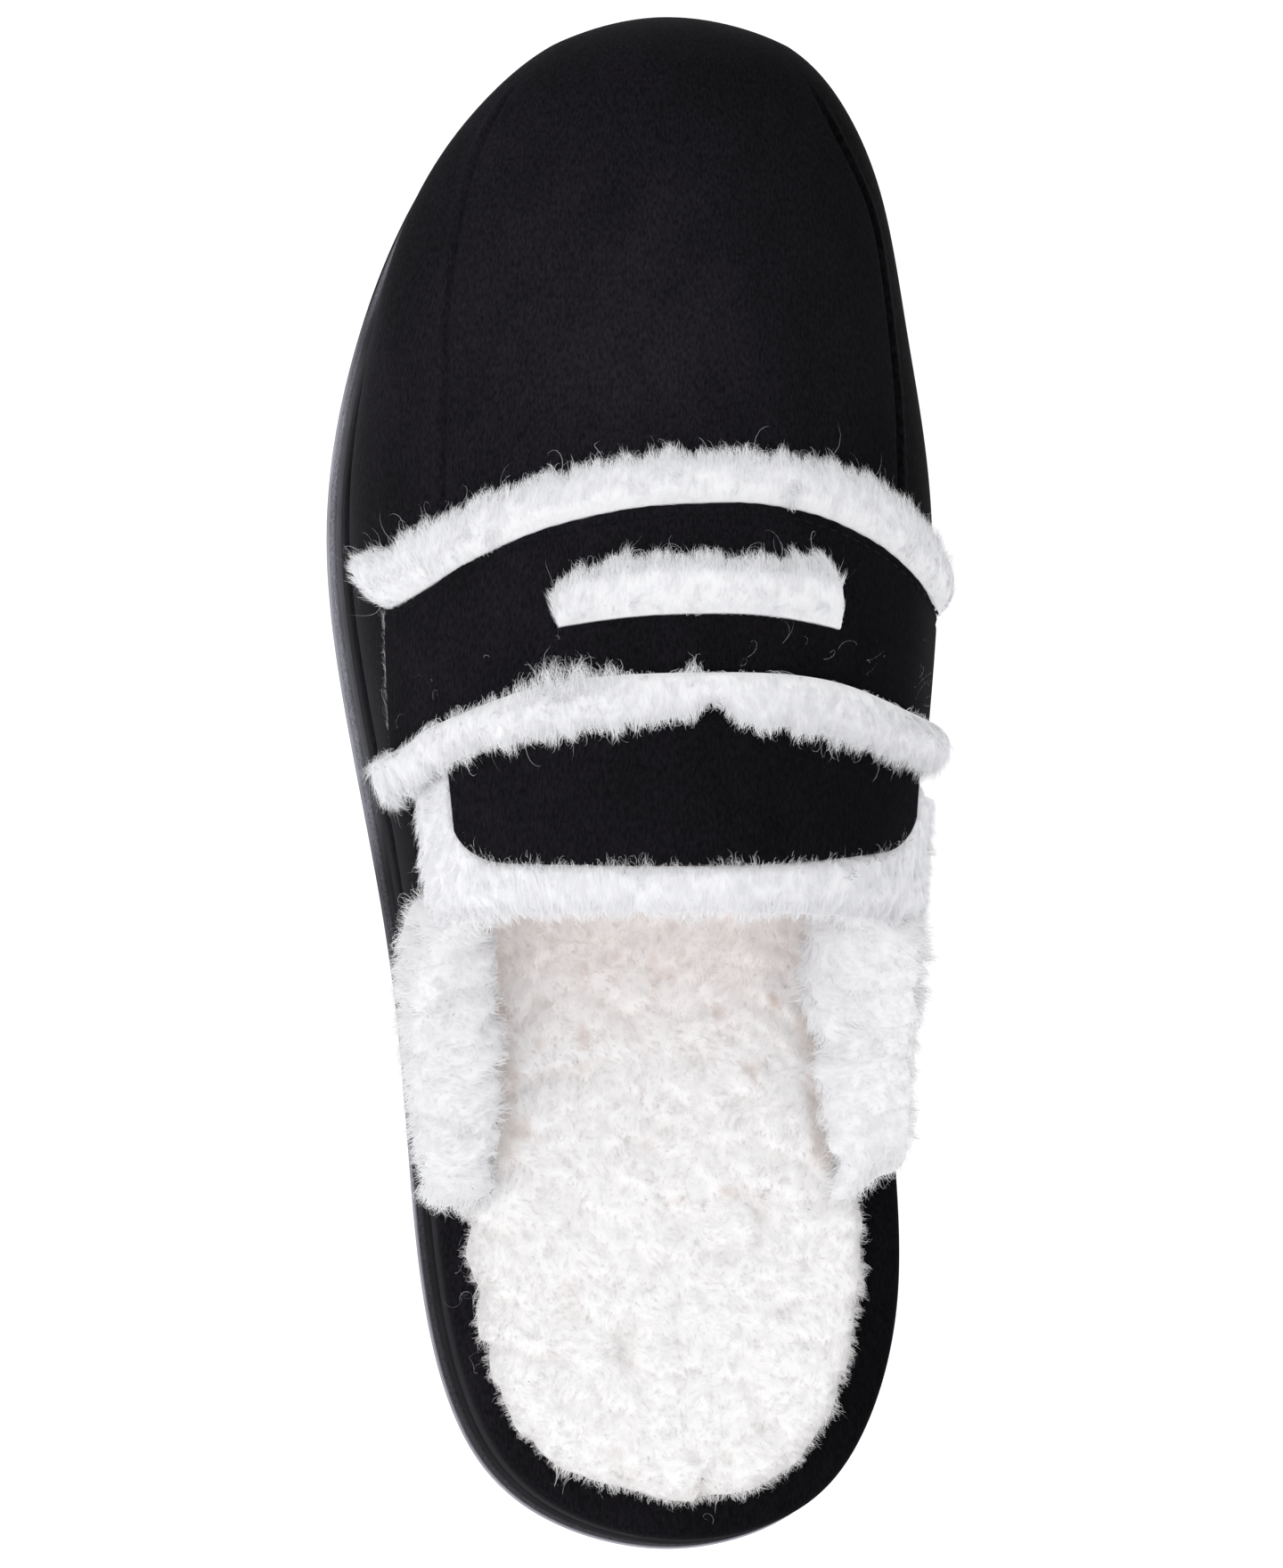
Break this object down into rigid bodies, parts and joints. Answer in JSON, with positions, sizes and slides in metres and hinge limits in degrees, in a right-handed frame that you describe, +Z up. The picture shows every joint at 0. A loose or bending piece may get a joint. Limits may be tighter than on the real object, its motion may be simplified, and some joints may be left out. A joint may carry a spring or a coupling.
{
  "type": "scuff slipper",
  "caption": "Left backless slipper: dark suede upper with a slotted saddle strap and tab, pale fur trims, pile insole, suede-wrapped platform and a moulded rubber outsole.",
  "frame": {"origin": "on the floor under the middle of the bounding box", "axes": "+Y from the heel to the toe, +X to the medial side, +Z up"},
  "size_m": [0.1144, 0.287, 0.0921],
  "materials": {
    "sole_rubber": "matt, finely textured side band with a smooth lip",
    "suede_black": "brushed black microsuede with a short nap",
    "fur_white": "white long-pile fur",
    "sherpa": "off-white curly pile"
  },
  "bodies": {
    "root": {"outsole": "sole_rubber", "midsole": "suede_black", "insole": "sherpa", "upper": "suede_black", "strap": "suede_black", "tongue": "suede_black", "strap_fur_front": "fur_white", "strap_fur_rear": "fur_white", "slot_fur": "fur_white", "tongue_fur": "fur_white", "collar_fur_lateral": "fur_white", "collar_fur_medial": "fur_white"}
  },
  "joints": []
}
